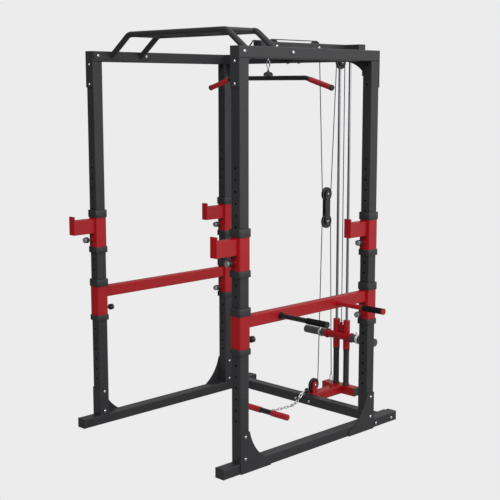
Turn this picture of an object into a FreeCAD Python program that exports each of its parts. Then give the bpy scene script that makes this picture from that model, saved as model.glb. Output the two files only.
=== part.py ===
# Power cage with a lat pulldown and low row attachment.
# Millimetres, +Z up, +X to the user's right, the open front of the cage faces -Y.
# Parts are laid out from the front faces of the front uprights (Y = 0), the cage's
# middle plane (X = 0) and the floor (Z = 0).  shift() gives the offset that puts the
# origin under the middle of the object.
import FreeCAD
import Part
import math
import os

# ---- driving dimensions ----
TUBE = 60.0            # square tube of the uprights
WALL = 3.0             # tube wall
CORNER = 5.0           # outer corner radius of the tubes
RAIL_X = 547.0         # centre of each side frame from the middle plane
REAR_Y = 954.0         # front face of the rear uprights
FOOT_H = 52.0          # height of the foot rails
FOOT_FRONT = -109.0
FOOT_REAR = 1221.0
BEAM_Z0 = 1970.0       # underside of the top beams
BEAM_Z1 = 2025.0       # top of the top beams
HOLE_R = 6.0
HOLE_Z0 = 258.0
HOLE_PITCH = 55.0
HOLE_COUNT = 23
LAP_Z0 = 1836.0        # lower end of the lap plates on the uprights
PLATE = 5.0
KNEE_TOP = 204.0
KNEE_LENGTH = 207.0
CROSS_Y0 = 1078.0      # rear floor crossmember
CROSS_Y1 = 1138.0
BOLT_R = 5.0
# pull-up bar
GRIP_BAR_R = 15.0
PULL_FRONT_Y = 122.0
PULL_REAR_Y = 320.0
PULL_Z = 2108.0
PULL_BEND_X = 367.0
PULL_FOOT_Z = 1998.0
# lat boom and base
ARM_HALF = 30.0
BOOM_FRONT = 700.0
TEE_Y0 = 1399.0
TEE_Y1 = 1459.0
TEE_HALF = 125.0
BOOM_TOP = 2080.0
BASE_H = 50.0
ROD_X = 39.0
ROD_Y = 1429.0
ROD_R = 8.0
POST_TOP = 276.0
# pulleys: (Y, Z) of the axles
PULLEY_R = 40.0
ROPE_LINE_R = 37.0
PULLEY_HALF = 7.0
ROPE_R = 2.5
TOP_FRONT = (820.5, 2057.0)
TOP_MIDDLE = (1164.0, 2057.0)
TOP_REAR = (1390.0, 1981.0)
LOW = (1177.5, 95.0)
BLOCK_TOP = (1277.0, 1222.0)
BLOCK_LOW = (1277.0, 1062.0)
DROP_Y = TOP_FRONT[0] - ROPE_LINE_R
LIFT_Y = TOP_REAR[0] + ROPE_LINE_R
ANCHOR_Y = 1337.0
BALL = (1120.0, 70.0)
BALL_R = 16.0
# sliding sleeves
SLEEVE_IN = 30.7       # half inside width
SLEEVE_OUT = 33.5      # half outside width
TRIM_OUT = 38.0
HOOK_Z0 = 988.0
HOOK_Z1 = 1147.0
HOOK_PIN_Z = 1028.0
SAFE_Z0 = 612.0
SAFE_Z1 = 771.0
SAFE_PIN_Z = 643.0
SAFE_BAR_Z0 = 708.0
SAFE_BAR_Z1 = 768.0
PIN_R = 5.0
# dip handles
DIP_Z = 734.0
DIP_FRONT_Y = 290.0
DIP_REAR_Y = 716.0
DIP_TIP = 867.0
# weight carriage
CARRIAGE_Z0 = 277.0
CARRIAGE_Z1 = 451.0
HORN_Y = 1411.0
HORN_Z = 355.0
HORN_R = 23.5
HORN_SEAT_R = 22.0     # where the spring collar parks
HORN_SEAT_END = 153.0
HORN_END = 270.0
# lat bar and row bar
LAT_Z = 1886.0
LAT_END = (455.0, 1834.0)
LAT_BEND_X = 275.0
LAT_R = 12.5
ROW_Y = 777.5
ROW_Z = 17.7
ROW_R = 15.0
ROW_HALF = 160.0

V = FreeCAD.Vector
X = V(1, 0, 0)
Y = V(0, 1, 0)
Z = V(0, 0, 1)


# ---- small helpers ----
def box(x0, x1, y0, y1, z0, z1):
    low = V(min(x0, x1), min(y0, y1), min(z0, z1))
    return Part.makeBox(abs(x1 - x0), abs(y1 - y0), abs(z1 - z0), low)


def rod(radius, start, end):
    run = end.sub(start)
    return Part.makeCylinder(radius, run.Length, start, run)


def ring(outer, inner, start, end):
    run = end.sub(start)
    extra = V(run).normalize()
    return rod(outer, start, end).cut(rod(inner, start.sub(extra), end.add(extra)))


def joined(shapes):
    whole = shapes[0]
    for other in shapes[1:]:
        whole = whole.fuse(other)
    return whole.removeSplitter()


def rounded(block, axis, radius):
    edges = []
    for edge in block.Edges:
        along = edge.Vertexes[1].Point.sub(edge.Vertexes[0].Point).normalize()
        if abs(along.dot(axis)) > 0.99:
            edges.append(edge)
    return block.makeFillet(radius, edges)


def tube(x0, x1, y0, y1, z0, z1, axis, wall=WALL, corner=CORNER):
    """Rectangular tube with rounded corners, open at both ends along axis."""
    outer = rounded(box(x0, x1, y0, y1, z0, z1), axis, corner)
    side = V(wall, wall, wall)
    side = side.sub(V(axis.x * (wall + 1), axis.y * (wall + 1), axis.z * (wall + 1)))
    inner = box(x0 + side.x, x1 - side.x, y0 + side.y, y1 - side.y, z0 + side.z, z1 - side.z)
    return outer.cut(rounded(inner, axis, corner - wall))


def plate(points, normal, thickness, arc_middle=None):
    """Flat plate from corner points; arc_middle bends the edge that closes the outline."""
    edges = []
    for start, end in zip(points[:-1], points[1:]):
        edges.append(Part.makeLine(start, end))
    if arc_middle is None:
        edges.append(Part.makeLine(points[-1], points[0]))
    else:
        edges.append(Part.Arc(points[-1], arc_middle, points[0]).toShape())
    face = Part.Face(Part.Wire(edges))
    return face.extrude(V(normal).multiply(thickness))


def sweep(edges, radius):
    """Round bar along a path of joined lines and arcs."""
    path = Part.Wire(edges)
    start = edges[0].valueAt(edges[0].FirstParameter)
    heading = edges[0].tangentAt(edges[0].FirstParameter)
    profile = Part.Wire([Part.makeCircle(radius, start, heading)])
    return path.makePipeShell([profile], True, False)


def bent_edges(points, radius):
    """Straight runs through points, joined by arcs of one radius."""
    edges = []
    here = points[0]
    for before, corner, after in zip(points[:-2], points[1:-1], points[2:]):
        u = corner.sub(before).normalize()
        w = after.sub(corner).normalize()
        turn = u.getAngle(w)
        setback = radius * math.tan(turn / 2)
        start = corner.sub(V(u).multiply(setback))
        end = corner.add(V(w).multiply(setback))
        inward = w.sub(u).normalize()
        depth = radius * (1 / math.cos(turn / 2) - 1)
        middle = corner.add(inward.multiply(depth))
        edges.append(Part.makeLine(here, start))
        edges.append(Part.Arc(start, middle, end).toShape())
        here = end
    edges.append(Part.makeLine(here, points[-1]))
    return edges


def wire_loop(centre, along, across, half_length, half_width, radius):
    """Closed link with round ends; along and across are unit vectors."""
    run = half_length - half_width
    def at(a, b):
        return centre.add(V(along).multiply(a)).add(V(across).multiply(b))
    edges = [
        Part.makeLine(at(-run, half_width), at(run, half_width)),
        Part.Arc(at(run, half_width), at(half_length, 0), at(run, -half_width)).toShape(),
        Part.makeLine(at(run, -half_width), at(-run, -half_width)),
        Part.Arc(at(-run, -half_width), at(-half_length, 0), at(-run, half_width)).toShape(),
    ]
    return sweep(edges, radius)


# ---- bolts ----
def bolt(head, out, grip, radius=BOLT_R):
    """Button-head bolt through a grip, with a washer at the head and a nut at the far end."""
    out = V(out)
    def at(distance):
        return head.add(V(out).multiply(distance))
    washer = rod(radius + 5, at(0), at(1.5))
    crown = Part.makeCone(radius + 3, radius, 4.0, at(1.5), out)
    shank = rod(radius, at(-grip - 1), at(1))
    nut = Part.makeCylinder(radius + 4, 6.0, at(-grip - 6), out)
    return joined([washer, crown, shank, nut])


def bolt_places():
    """Each bolt as (point under the head, outward direction, grip length)."""
    places = []
    for centre in (-RAIL_X, RAIL_X):
        side = 1 if centre > 0 else -1
        outer_head = centre + 30
        plate_out = PLATE if side > 0 else 0
        plate_in = PLATE - plate_out
        for y in (30.0, REAR_Y + 30):
            for z in (182.0, 72.0):
                places.append((V(outer_head + plate_out, y, z), X, TUBE + PLATE))
        for y in (1040.0, 1176.0):
            places.append((V(outer_head + plate_in, y, 22), X, TUBE + PLATE))
        for y in (30.0, 356.0):
            places.append((V(outer_head + plate_in, y, 2001), X, TUBE + PLATE))
        for z in (1955.0, 1852.0):
            places.append((V(centre, -4, z), V(0, -1, 0), TUBE + 4))
            places.append((V(centre, REAR_Y + TUBE + 4, z), Y, TUBE + 4))
    for x in (-41.0, 41.0):
        places.append((V(x, 984, BEAM_Z0), V(0, 0, -1), BEAM_Z1 - BEAM_Z0 + 6))
    for x in (-52.0, 52.0):
        places.append((V(x, CROSS_Y0, 24), V(0, -1, 0), CROSS_Y1 - CROSS_Y0 + PLATE))
    return places


def drilled(shape):
    """Clears a hole for every bolt that passes through the shape."""
    for head, out, grip in bolt_places():
        start = head.add(V(out).multiply(2))
        end = head.sub(V(out).multiply(grip + 2))
        hole = rod(BOLT_R + 0.3, start, end)
        if shape.BoundBox.intersect(hole.BoundBox):
            shape = shape.cut(hole)
    return shape


def axle(centre, half_grip, wall_in):
    """Pulley axle bolt along X, with spacers from the pulley's sides out to the walls."""
    y, z = centre
    parts = [bolt(V(half_grip, y, z), X, 2 * half_grip)]
    for side in (-1, 1):
        parts.append(rod(8, V(side * (PULLEY_HALF + 0.5), y, z), V(side * wall_in, y, z)))
    return joined(parts)


# ---- fixed frame ----
def knee(centre, y0, direction):
    """Curved plate that ties an upright to its foot rail; direction is +1 towards +Y."""
    side = 1 if centre > 0 else -1
    x = centre + side * 30
    def at(y, z):
        return V(x, y0 + direction * y, z)
    outline = [at(KNEE_LENGTH, 30), at(KNEE_LENGTH, 0), at(0, 0), at(0, KNEE_TOP), at(60, KNEE_TOP)]
    return plate(outline, V(side, 0, 0), PLATE, at(111.7, 98.8))


def foot(centre):
    rail = tube(centre - 30, centre + 30, FOOT_FRONT + 3, FOOT_REAR - 3, 0, FOOT_H, Y)
    parts = [rail, knee(centre, 0, 1), knee(centre, REAR_Y + TUBE, -1)]
    return drilled(joined(parts))


def upright(centre, y0):
    post = tube(centre - 30, centre + 30, y0, y0 + TUBE, FOOT_H, BEAM_Z0, Z)
    for n in range(HOLE_COUNT):
        z = HOLE_Z0 + n * HOLE_PITCH
        post = post.cut(rod(HOLE_R, V(centre, y0 - 5, z), V(centre, y0 + TUBE + 5, z)))
    return drilled(post)


def top_beam(centre):
    beam = tube(centre - 30, centre + 30, 0, REAR_Y + TUBE, BEAM_Z0, BEAM_Z1, Y)
    parts = [beam]
    for y in (-4, REAR_Y + TUBE):
        parts.append(box(centre - 30, centre + 30, y, y + 4, LAP_Z0, BEAM_Z1))
    return drilled(joined(parts))


def rear_crossbeam():
    parts = [tube(-512, 512, REAR_Y, REAR_Y + TUBE, BEAM_Z0, BEAM_Z1, X)]
    for side in (-1, 1):
        parts.append(box(side * 512, side * 517, REAR_Y, REAR_Y + TUBE, 1895, BEAM_Z1))
        corners = [V(side * 512, 981.5, 1895), V(side * 512, 981.5, BEAM_Z0), V(side * 383, 981.5, BEAM_Z0)]
        parts.append(plate(corners, Y, PLATE, V(side * 456, 981.5, 1947)))
    return drilled(joined(parts))


def floor_crossmember():
    parts = [tube(-512, 512, CROSS_Y0, CROSS_Y1, 0, FOOT_H, X)]
    for side in (-1, 1):
        parts.append(box(side * 512, side * 517, 1020, 1196, 0, FOOT_H))
    return drilled(joined(parts))


def pull_up_hoop(y):
    points = [
        V(-512, y, PULL_FOOT_Z + 4),
        V(-PULL_BEND_X, y, PULL_Z),
        V(PULL_BEND_X, y, PULL_Z),
        V(512, y, PULL_FOOT_Z + 4),
    ]
    return sweep(bent_edges(points, 55), GRIP_BAR_R)


def pull_up_bar():
    parts = [pull_up_hoop(PULL_FRONT_Y), pull_up_hoop(PULL_REAR_Y)]
    for x in (-345.0, -130.0, 130.0, 345.0):
        parts.append(rod(GRIP_BAR_R - 1, V(x, PULL_FRONT_Y, PULL_Z), V(x, PULL_REAR_Y, PULL_Z)))
    for side in (-1, 1):
        parts.append(box(side * 512, side * 517, 5, 382, 1984, 2019))
    whole = joined(parts)
    for side in (-1, 1):
        whole = whole.cut(box(side * 517, side * 560, 0, 400, 1900, 2100))
    return drilled(whole)


def pulley_slots(centre, rear_reach):
    y, z = centre
    upper = box(-10, 10, y - 40, y + 40, z, BOOM_TOP + 5)
    lower = box(-10, 10, y - 44, y + rear_reach, BEAM_Z1 - 5, z)
    return upper.fuse(lower)


def hanging_bracket(centre, z_top, x_in):
    """Pair of plates with round lower ends that carry one pulley."""
    y, z = centre
    parts = []
    for side in (-1, 1):
        x0 = side * x_in
        x1 = side * (x_in + PLATE)
        parts.append(box(x0, x1, y - 20, y + 20, z, z_top))
        parts.append(rod(20, V(x0, y, z), V(x1, y, z)))
    whole = joined(parts)
    return whole.cut(rod(BOLT_R + 0.3, V(-30, y, z), V(30, y, z)))


def boom_hook():
    """Bent wire at the front of the boom that parks the lat bar."""
    top = BOOM_TOP + 3
    points = [V(0, 752, top), V(0, 668, top), V(0, 634, 2045)]
    points += [V(0, 634, 1964), V(0, 594, 1964), V(0, 590, 1996)]
    return sweep(bent_edges(points, 14), 4)


def lat_boom():
    beam = tube(-ARM_HALF, ARM_HALF, BOOM_FRONT + 3, TEE_Y0, BEAM_Z1, BOOM_TOP, Y)
    beam = beam.cut(pulley_slots(TOP_FRONT, 40))
    beam = beam.cut(pulley_slots(TOP_MIDDLE, 56))
    for centre in (TOP_FRONT, TOP_MIDDLE):
        beam = beam.cut(rod(BOLT_R + 0.3, V(-40, centre[0], centre[1]), V(40, centre[0], centre[1])))
    cross = tube(-TEE_HALF + 3, TEE_HALF - 3, TEE_Y0, TEE_Y1, BEAM_Z1, BOOM_TOP, X)
    ears = box(-58, 58, 958, 1010, BEAM_Z1, BEAM_Z1 + 6).cut(box(-29, 29, 950, 1020, 2020, 2040))
    parts = [beam, cross, ears, hanging_bracket(TOP_REAR, BEAM_Z1, 9), boom_hook()]
    return drilled(joined(parts))


def low_bracket():
    y, z = LOW
    parts = []
    for side in (-1, 1):
        x0 = side * 9
        x1 = side * 14
        parts.append(box(x0, x1, y - 20.5, y + 20.5, BASE_H, z + 2.5))
        parts.append(rod(20.5, V(x0, y, z + 2.5), V(x1, y, z + 2.5)))
    whole = joined(parts)
    return whole.cut(rod(BOLT_R + 0.3, V(-30, y, z), V(30, y, z)))


def lat_base():
    stem = tube(-ARM_HALF, ARM_HALF, CROSS_Y1 + PLATE, TEE_Y0, 0, BASE_H, Y)
    cross = tube(-TEE_HALF + 3, TEE_HALF - 3, TEE_Y0, TEE_Y1, 0, BASE_H, X)
    front = box(-68, 68, CROSS_Y1, CROSS_Y1 + PLATE, 0, BASE_H)
    eye = box(-3, 3, ANCHOR_Y - 10, ANCHOR_Y + 10, BASE_H, 72)
    eye = eye.cut(rod(5.5, V(-5, ANCHOR_Y, 63), V(5, ANCHOR_Y, 63)))
    return drilled(joined([stem, cross, front, eye, low_bracket()]))


def guide_rods():
    rods = []
    for side in (-1, 1):
        rods.append(rod(ROD_R, V(side * ROD_X, ROD_Y, BASE_H), V(side * ROD_X, ROD_Y, BEAM_Z1)))
    return Part.makeCompound(rods)


def bumper_posts():
    posts = []
    for side in (-1, 1):
        x = side * ROD_X
        post = rod(17.5, V(x, ROD_Y, BASE_H), V(x, ROD_Y, POST_TOP))
        low = rod(19.5, V(x, ROD_Y, BASE_H), V(x, ROD_Y, BASE_H + 14))
        high = rod(19, V(x, ROD_Y, POST_TOP - 12), V(x, ROD_Y, POST_TOP))
        bore = rod(ROD_R + 0.3, V(x, ROD_Y, 0), V(x, ROD_Y, 400))
        posts.append(joined([post, low, high]).cut(bore))
    return Part.makeCompound(posts)


def end_caps():
    caps = []
    for centre in (-RAIL_X, RAIL_X):
        for y in (FOOT_FRONT, FOOT_REAR - 3):
            caps.append(box(centre - 30, centre + 30, y, y + 3, 0, FOOT_H))
    front = box(-30, 30, BOOM_FRONT, BOOM_FRONT + 3, BEAM_Z1, BOOM_TOP)
    caps.append(front.cut(box(-6, 6, BOOM_FRONT - 1, BOOM_FRONT + 4, BOOM_TOP - 2, BOOM_TOP + 1)))
    for side in (-1, 1):
        x0 = side * (TEE_HALF - 3)
        x1 = side * TEE_HALF
        caps.append(box(x0, x1, TEE_Y0, TEE_Y1, BEAM_Z1, BOOM_TOP))
        caps.append(box(x0, x1, TEE_Y0, TEE_Y1, 0, BASE_H))
    return Part.makeCompound(caps)


def frame_bolts():
    pieces = []
    for head, out, grip in bolt_places():
        pieces.append(bolt(head, out, grip))
    pieces.append(axle(TOP_FRONT, ARM_HALF, ARM_HALF - WALL))
    pieces.append(axle(TOP_MIDDLE, ARM_HALF, ARM_HALF - WALL))
    pieces.append(axle(TOP_REAR, 14, 9))
    pieces.append(axle(LOW, 14, 9))
    pieces.append(wire_loop(V(0, ANCHOR_Y, 95.5), Z, X, 32.5, 9, 2.5))
    return Part.makeCompound(pieces)


# ---- pulleys and cables ----
def pulley(centre):
    y, z = centre
    bore = BOLT_R + 0.05
    floor = ROPE_LINE_R - ROPE_R - 0.3
    outline = [
        V(-PULLEY_HALF, 0, bore),
        V(PULLEY_HALF, 0, bore),
        V(PULLEY_HALF, 0, PULLEY_R - 1),
        V(5.2, 0, PULLEY_R),
        V(3.0, 0, floor),
        V(-3.0, 0, floor),
        V(-5.2, 0, PULLEY_R),
        V(-PULLEY_HALF, 0, PULLEY_R - 1),
    ]
    face = Part.Face(Part.makePolygon(outline + [outline[0]]))
    wheel = face.revolve(V(0, 0, 0), X, 360)
    wheel.translate(V(0, y, z))
    return wheel


def heading_angle(a, turn_a, b, turn_b):
    """Direction of the straight run from wheel a to wheel b; turns are -1, 0 or 1."""
    dy = b[0] - a[0]
    dz = b[1] - a[1]
    reach = math.hypot(dy, dz)
    offset = (turn_b - turn_a) * ROPE_LINE_R / reach
    return math.atan2(dz, dy) - math.asin(offset)


def touch(centre, turn, angle):
    """Point where a run with this direction touches the wheel's rope line."""
    return (
        centre[0] + turn * ROPE_LINE_R * math.sin(angle),
        centre[1] - turn * ROPE_LINE_R * math.cos(angle),
    )


def cable(stops):
    """Cable in the plane X = 0 through stops of (centre, turn); turn 0 is an end point."""
    edges = []
    arrive = None
    arrive_angle = None
    for (a, turn_a), (b, turn_b) in zip(stops[:-1], stops[1:]):
        angle = heading_angle(a, turn_a, b, turn_b)
        leave = touch(a, turn_a, angle)
        if turn_a != 0:
            sweep_angle = (angle - arrive_angle) * turn_a % (2 * math.pi)
            half = arrive_angle + turn_a * sweep_angle / 2
            middle = touch(a, turn_a, half)
            arc = Part.Arc(V(0, *arrive), V(0, *middle), V(0, *leave))
            edges.append(arc.toShape())
        arrive = touch(b, turn_b, angle)
        arrive_angle = angle
        edges.append(Part.makeLine(V(0, *leave), V(0, *arrive)))
    return sweep(edges, ROPE_R)


def lat_cable_mid():
    return cable([
        ((DROP_Y, 2050.0), 0),
        (TOP_FRONT, -1),
        (TOP_MIDDLE, -1),
        (BLOCK_TOP, 1),
        (TOP_REAR, -1),
        ((LIFT_Y, 1974.0), 0),
    ])


def row_cable():
    return cable([((ANCHOR_Y, 132.0), 0), (BLOCK_LOW, 1), (LOW, -1), ((1136.8, BALL[1] - 2), 0)])


def block_plates():
    parts = []
    y = BLOCK_TOP[0]
    for side in (-1, 1):
        x0 = side * 8.5
        x1 = side * 12.5
        side_plate = joined([
            box(x0, x1, y - 20, y + 20, BLOCK_LOW[1], BLOCK_TOP[1]),
            rod(20, V(x0, y, BLOCK_LOW[1]), V(x1, y, BLOCK_LOW[1])),
            rod(20, V(x0, y, BLOCK_TOP[1]), V(x1, y, BLOCK_TOP[1])),
        ])
        parts.append(side_plate)
    parts.append(axle(BLOCK_TOP, 12.5, 8.5))
    parts.append(axle(BLOCK_LOW, 12.5, 8.5))
    return joined(parts)


# ---- sliding hooks and safeties ----
def sleeve(centre, y0, z0, z1):
    mid = y0 + TUBE / 2
    outer = box(centre - SLEEVE_OUT, centre + SLEEVE_OUT, mid - SLEEVE_OUT, mid + SLEEVE_OUT, z0, z1)
    outer = rounded(outer, Z, 6)
    inner = box(centre - SLEEVE_IN, centre + SLEEVE_IN, mid - SLEEVE_IN, mid + SLEEVE_IN, z0 - 1, z1 + 1)
    return outer.cut(rounded(inner, Z, 3.5))


def trim(centre, y0, z0, z1):
    mid = y0 + TUBE / 2
    outer = box(centre - TRIM_OUT, centre + TRIM_OUT, mid - TRIM_OUT, mid + TRIM_OUT, z0, z1)
    outer = rounded(outer, Z, 9)
    inner = box(centre - SLEEVE_IN, centre + SLEEVE_IN, mid - SLEEVE_IN, mid + SLEEVE_IN, z0 - 1, z1 + 1)
    return outer.cut(rounded(inner, Z, 3.5))


def pin_boss(centre, y_face, direction, z):
    """Threaded barrel on a sleeve; direction is the way the knob points along Y."""
    start = V(centre, y_face + direction * (SLEEVE_OUT - SLEEVE_IN), z)
    end = V(centre, y_face + direction * 16, z)
    return rod(11, start, end)


def pin_bore(centre, y_face, direction, z):
    start = V(centre, y_face - direction * 3, z)
    end = V(centre, y_face + direction * 20, z)
    return rod(PIN_R + 0.05, start, end)


def pull_pin(centre, y_face, direction, z):
    """Pull pin drawn back, with its tip just clear of the upright."""
    def at(distance):
        return V(centre, y_face + direction * distance, z)
    shank = rod(PIN_R, at(0.5), at(40))
    neck = rod(11, at(33), at(38))
    knob = rod(16, at(38), at(60))
    crown = Part.makeCone(16, 13, 2, at(60), V(0, direction, 0))
    return joined([shank, neck, knob, crown])


def hook(centre, y0):
    side = 1 if centre > 0 else -1
    x0 = centre - 26 if side > 0 else centre - 25
    x1 = x0 + 43.5
    face = y0 + TUBE / 2 - SLEEVE_OUT
    arm = tube(x0, x1, y0 - 132, face + 1, 1062, 1140, Y, 3, 3.5)
    lip = box(x0, x1, y0 - 138, y0 - 132, 1062, 1161)
    body = sleeve(centre, y0, HOOK_Z0, HOOK_Z1)
    boss = pin_boss(centre, y0, -1, HOOK_PIN_Z)
    whole = joined([body, arm, lip, boss])
    return whole.cut(pin_bore(centre, y0, -1, HOOK_PIN_Z))


def hook_trims(centre, y0):
    return Part.makeCompound([trim(centre, y0, HOOK_Z1, 1186), trim(centre, y0, 956, HOOK_Z0)])


def safety(centre):
    rear_face = TUBE / 2 + SLEEVE_OUT
    front_face = REAR_Y + TUBE / 2 - SLEEVE_OUT
    bar = tube(centre - 20, centre + 20, rear_face - 1, front_face + 1, SAFE_BAR_Z0, SAFE_BAR_Z1, Y)
    parts = [
        sleeve(centre, 0, SAFE_Z0, SAFE_Z1),
        sleeve(centre, REAR_Y, SAFE_Z0, SAFE_Z1),
        bar,
        pin_boss(centre, TUBE, 1, SAFE_PIN_Z),
        pin_boss(centre, REAR_Y, -1, SAFE_PIN_Z),
    ]
    if centre > 0:
        parts.append(rod(LAT_R, V(centre + 20, DIP_REAR_Y, DIP_Z), V(DIP_TIP - 7, DIP_REAR_Y, DIP_Z)))
        parts.append(rod(16, V(DIP_TIP - 7, DIP_REAR_Y, DIP_Z), V(DIP_TIP, DIP_REAR_Y, DIP_Z)))
    whole = joined(parts)
    whole = whole.cut(pin_bore(centre, TUBE, 1, SAFE_PIN_Z))
    return whole.cut(pin_bore(centre, REAR_Y, -1, SAFE_PIN_Z))


def safety_trims(centre):
    rings = []
    for y0 in (0, REAR_Y):
        rings.append(trim(centre, y0, SAFE_Z1, 810))
        rings.append(trim(centre, y0, 583, SAFE_Z0))
    return Part.makeCompound(rings)


def front_dip_handle():
    base = RAIL_X + 20
    flange = rod(19, V(base, DIP_FRONT_Y, DIP_Z), V(base + 6, DIP_FRONT_Y, DIP_Z))
    bar = rod(LAT_R, V(base + 6, DIP_FRONT_Y, DIP_Z), V(DIP_TIP - 7, DIP_FRONT_Y, DIP_Z))
    cap = rod(16, V(DIP_TIP - 7, DIP_FRONT_Y, DIP_Z), V(DIP_TIP, DIP_FRONT_Y, DIP_Z))
    return joined([flange, bar, cap])


def dip_grips():
    grips = []
    for y in (DIP_FRONT_Y, DIP_REAR_Y):
        grips.append(ring(15.5, LAT_R + 0.1, V(737, y, DIP_Z), V(DIP_TIP - 7, y, DIP_Z)))
    return Part.makeCompound(grips)


# ---- weight carriage ----
def carriage_frame():
    parts = [rod(22, V(-90, HORN_Y, HORN_Z), V(90, HORN_Y, HORN_Z))]
    for side in (-1, 1):
        x = side * ROD_X
        parts.append(rod(20.5, V(x, ROD_Y, CARRIAGE_Z0), V(x, ROD_Y, CARRIAGE_Z1)))
        parts.append(rod(29, V(side * 90, HORN_Y, HORN_Z), V(side * 96, HORN_Y, HORN_Z)))
    parts.append(box(-24, 24, 1424, 1430, HORN_Z, 420))
    parts.append(rod(8, V(0, LIFT_Y, 405), V(0, LIFT_Y, 436)))
    whole = joined(parts)
    for side in (-1, 1):
        x = side * ROD_X
        whole = whole.cut(rod(ROD_R + 0.05, V(x, ROD_Y, 200), V(x, ROD_Y, 500)))
    return whole


def weight_horns():
    horns = []
    for side in (-1, 1):
        def at(distance):
            return V(side * distance, HORN_Y, HORN_Z)
        collar = rod(25, at(96), at(135))
        seat = rod(HORN_SEAT_R, at(135), at(HORN_SEAT_END))
        stub = rod(HORN_R, at(HORN_SEAT_END), at(HORN_END))
        horns.append(joined([collar, seat, stub]))
    return Part.makeCompound(horns)


def spring_collar(side):
    start = V(side * 137, HORN_Y, HORN_Z)
    end = V(side * 152, HORN_Y, HORN_Z)
    body = ring(28, HORN_R + 0.05, start, end)
    lever = box(side * 141, side * 148, HORN_Y - 4, HORN_Y + 4, HORN_Z + 27, HORN_Z + 45)
    return joined([body, lever])


# ---- lat bar ----
def lat_path():
    end_x, end_z = LAT_END
    return [
        V(-end_x, DROP_Y, end_z),
        V(-LAT_BEND_X, DROP_Y, LAT_Z),
        V(LAT_BEND_X, DROP_Y, LAT_Z),
        V(end_x, DROP_Y, end_z),
    ]


def lat_bar():
    bar = sweep(bent_edges(lat_path(), 60), LAT_R)
    stud = rod(6, V(0, DROP_Y, LAT_Z), V(0, DROP_Y, 1912))
    return joined([bar, stud])


def lat_grips():
    grips = []
    end_x, end_z = LAT_END
    for side in (-1, 1):
        tip = V(side * end_x, DROP_Y, end_z)
        bend = V(side * LAT_BEND_X, DROP_Y, LAT_Z)
        along = bend.sub(tip).normalize()
        start = tip.add(V(along).multiply(8))
        end = tip.add(V(along).multiply(156))
        sock = ring(14.5, LAT_R + 0.1, start, end)
        cap = ring(15.5, LAT_R + 0.1, tip.sub(V(along).multiply(2)), start)
        seal = rod(15.5, tip.sub(V(along).multiply(5)), tip.sub(V(along).multiply(2)))
        grips.append(joined([sock, cap, seal]))
    return Part.makeCompound(grips)


def lat_hanger():
    hub = rod(26, V(0, DROP_Y, 1899), V(0, DROP_Y, 1911))
    dome = Part.makeCone(26, 12, 10, V(0, DROP_Y, 1911), Z)
    neck = rod(6, V(0, DROP_Y, 1921), V(0, DROP_Y, 1928))
    hub = joined([hub, dome, neck]).cut(rod(6.05, V(0, DROP_Y, 1890), V(0, DROP_Y, 1912.5)))
    snap = wire_loop(V(0, DROP_Y, 1955), Z, X, 26, 11, 3)
    return joined([hub, snap])


# ---- low row ----
def along_path(points, distance):
    """Point at a distance along a path of straight runs."""
    for start, end in zip(points[:-1], points[1:]):
        run = end.sub(start)
        if distance <= run.Length:
            return start.add(run.normalize().multiply(distance))
        distance -= run.Length
    return points[-1]


def chain_path():
    """From the stopper ball over the crossmember's edge and along the floor to the bar."""
    return [
        V(0, BALL[0] - 23, BALL[1]),
        V(3, 1078, 67),
        V(0, 1065, 52),
        V(-8, 1057, 30),
        V(-10, 1040, 12),
        V(-8, 1018, 8.5),
        V(4, 980, 8.5),
        V(0, 916, 8.5),
        V(-6, 855, 8.5),
        V(0, ROW_Y + 21.7, 13),
    ]


def chain_links():
    points = chain_path()
    total = sum(b.sub(a).Length for a, b in zip(points[:-1], points[1:]))
    count = math.ceil(total / 27.0)
    pitch = total / count
    links = []
    for n in range(count):
        low = along_path(points, n * pitch)
        high = along_path(points, (n + 1) * pitch)
        along = high.sub(low).normalize()
        flat = Z.cross(along).normalize()
        up = along.cross(flat).normalize()
        lean = 1 if (count - n) % 2 == 1 else -1
        across = flat.add(up.multiply(lean)).normalize()
        middle = low.add(high).multiply(0.5)
        links.append(wire_loop(middle, along, across, 16.2, 6.2, 2.4))
    return links


def row_chain():
    y, z = BALL
    ball = Part.makeSphere(BALL_R, V(0, y, z)).fuse(rod(3, V(0, y - 14, z), V(0, y - 17.2, z)))
    return Part.makeCompound([ball] + chain_links())


def row_bar():
    bar = rod(ROW_R, V(-ROW_HALF, ROW_Y, ROW_Z), V(ROW_HALF, ROW_Y, ROW_Z))
    eye = wire_loop(V(0, ROW_Y + 15.5, 14.2), Y, V(1, 0, -1).normalize(), 9, 6, 2.4)
    return joined([bar, eye])


def row_grips():
    grips = []
    for side in (-1, 1):
        sock = ring(17.5, ROW_R + 0.1, V(side * 45, ROW_Y, ROW_Z), V(side * ROW_HALF, ROW_Y, ROW_Z))
        seal = rod(17.5, V(side * ROW_HALF, ROW_Y, ROW_Z), V(side * (ROW_HALF + 4), ROW_Y, ROW_Z))
        grips.append(joined([sock, seal]))
    return Part.makeCompound(grips)


# ---- assembly ----
CORNERS = {
    "front_left": (-RAIL_X, 0.0),
    "rear_left": (-RAIL_X, REAR_Y),
    "front_right": (RAIL_X, 0.0),
    "rear_right": (RAIL_X, REAR_Y),
}
SIDES = {"left": -RAIL_X, "right": RAIL_X}


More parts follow.
